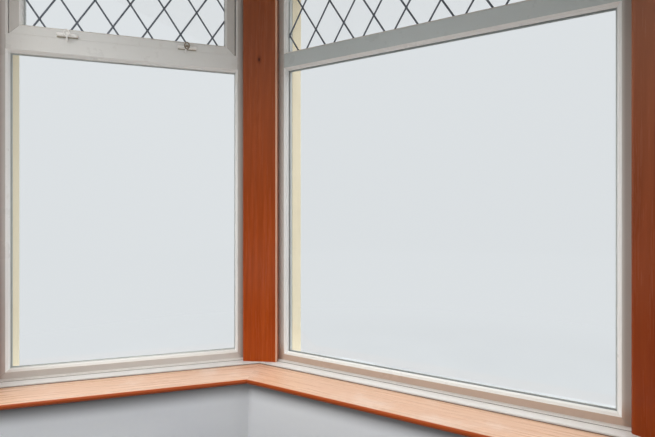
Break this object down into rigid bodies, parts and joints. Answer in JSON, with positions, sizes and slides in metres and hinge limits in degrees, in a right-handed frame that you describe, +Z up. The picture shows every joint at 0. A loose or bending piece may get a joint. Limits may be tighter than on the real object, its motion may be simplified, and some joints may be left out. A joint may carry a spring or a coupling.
{
  "type": "splayed bay window",
  "caption": "Three-sided bay window of a house, with rendered walls and piers, white frames, leaded top lights, stained posts and boards, and a hipped slate roof.",
  "frame": {"origin": "on the ground, in the middle of the bay's width and of its depth", "axes": "+Z up, +Y towards the house and its room, +X to the right seen from the street"},
  "size_m": [4.3168, 1.3016, 3.4333],
  "materials": {
    "masonry": "painted cream render",
    "sill_stone": "pale painted stone, slightly weathered",
    "white_paint": "white gloss paint on timber",
    "glass": "clear",
    "lead": "dull grey lead sheet and came",
    "catch_metal": "worn bright plating",
    "board_wood": "clear varnished softwood with a sheen",
    "post_wood": "red brown stain, satin",
    "plaster": "matt white emulsion",
    "carcass_timber": "sawn softwood",
    "slate": "riven grey slate",
    "gutter_plastic": "white"
  },
  "bodies": {
    "root": {"dwarf_wall_front": "masonry", "dwarf_wall_left": "masonry", "dwarf_wall_right": "masonry", "corner_pier_left": "masonry", "corner_pier_right": "masonry", "end_pier_left": "masonry", "end_pier_right": "masonry", "lintel_front": "masonry", "lintel_left": "masonry", "lintel_right": "masonry", "sill_front": "sill_stone", "sill_left": "sill_stone", "sill_right": "sill_stone", "frame_front": "white_paint", "frame_left": "white_paint", "frame_right": "white_paint", "sash_left": "white_paint", "sash_right": "white_paint", "ledge_front": "white_paint", "ledge_left": "white_paint", "ledge_right": "white_paint", "eaves": "white_paint", "glass_front": "glass", "glass_left": "glass", "glass_right": "glass", "leading_front": "lead", "leading_left": "lead", "leading_right": "lead", "hip_leads": "lead", "flashing": "lead", "catches": "catch_metal", "board_front": "board_wood", "board_left": "board_wood", "board_right": "board_wood", "corner_post_left": "post_wood", "corner_post_right": "post_wood", "end_post_left": "post_wood", "end_post_right": "post_wood", "ceiling": "plaster", "joists": "carcass_timber", "rafters": "carcass_timber", "roof_front": "slate", "roof_left": "slate", "roof_right": "slate", "gutter": "gutter_plastic"}
  },
  "joints": []
}
